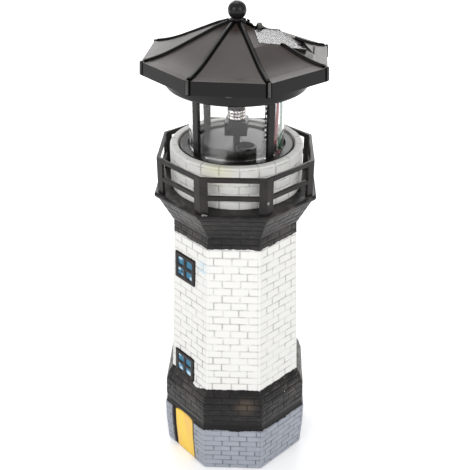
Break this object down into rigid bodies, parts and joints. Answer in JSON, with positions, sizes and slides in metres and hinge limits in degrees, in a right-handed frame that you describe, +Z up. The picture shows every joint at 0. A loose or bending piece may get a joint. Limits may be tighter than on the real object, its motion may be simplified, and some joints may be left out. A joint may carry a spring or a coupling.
{
  "type": "garden lighthouse ornament",
  "caption": "Solar-lit garden lighthouse: hollow octagonal tower with a railed gallery and a lift-out lantern with a turning reflector under an octagonal roof.",
  "frame": {"origin": "centre of the tower's base on the ground", "axes": "+Z up along the tower's axis, -Y towards the front face, the face with door and windows 45 degrees to its left"},
  "size_m": [0.1206, 0.1206, 0.3588],
  "materials": {
    "painted_resin": "brush-painted cast resin, satin",
    "black_plastic": "moulded, satin",
    "roof_plastic": "moulded, fine sheen",
    "clear_plastic": "clear plastic",
    "solar_cells": "dark cells under resin",
    "sensor_lens": "moulded lens",
    "lamp_lens": "clear resin lens",
    "red_insulation": "wire insulation",
    "green_insulation": "wire insulation",
    "screw_steel": "zinc-plated",
    "motor_steel": "plain steel",
    "contact_metal": "nickel-plated spring leaf",
    "gear_plastic": "natural moulded gear plastic",
    "board_green": "solder mask",
    "switch_plastic": "moulded",
    "cell_wrap": "plain shrink sleeve"
  },
  "bodies": {
    "tower": {"tower_casting": "painted_resin", "railing_posts": "black_plastic", "railing_top_rail": "black_plastic", "railing_mid_rail": "black_plastic"},
    "lantern": {"lantern_base": "black_plastic", "boss_screw": "screw_steel", "base_cover": "black_plastic", "base_screws": "screw_steel", "battery": "cell_wrap", "battery_contacts": "contact_metal", "circuit_board": "board_green", "switch_body": "switch_plastic", "drive_motor": "motor_steel", "gear_pedestal": "black_plastic", "led_holder": "black_plastic", "beacon_led": "lamp_lens", "clear_cylinder": "clear_plastic", "column_1": "black_plastic", "column_2": "black_plastic", "column_3": "black_plastic", "column_4": "black_plastic", "roof_collar": "black_plastic", "roof_shell": "roof_plastic", "finial": "roof_plastic", "solar_panel": "solar_cells", "panel_glaze": "clear_plastic", "light_sensor": "sensor_lens", "roof_screws": "screw_steel", "red_wire": "red_insulation", "green_wire": "green_insulation"},
    "beacon": {"beacon_shaft": "motor_steel", "beacon_gear": "gear_plastic", "beacon_reflector": "clear_plastic"},
    "pinion": {"motor_pinion": "gear_plastic"},
    "switch": {"switch_slider": "switch_plastic"},
    "battery_door": {"battery_cover": "black_plastic"}
  },
  "joints": [
    {"name": "lantern_lift", "type": "slide", "parent": "tower", "child": "lantern", "axis": [0, 0, 1], "range_m": [0, 0.045]},
    {"name": "beacon_spin", "type": "hinge", "parent": "lantern", "child": "beacon", "pos_m": [0, 0, 0.26], "axis": [0, 0, 1], "continuous": true},
    {"name": "pinion_spin", "type": "hinge", "parent": "lantern", "child": "pinion", "pos_m": [-0.01203, 0.00064, 0.248], "axis": [0, 0, 1], "continuous": true},
    {"name": "switch_slide", "type": "slide", "parent": "lantern", "child": "switch", "axis": [0.9986, -0.0529, 0], "range_m": [0, 0.0025]},
    {"name": "battery_door_lift", "type": "slide", "parent": "lantern", "child": "battery_door", "axis": [0, 0, -1], "range_m": [0, 0.012]}
  ],
  "couplings": [
    {"joint": "pinion_spin", "follows": "beacon_spin", "ratio": -3}
  ]
}
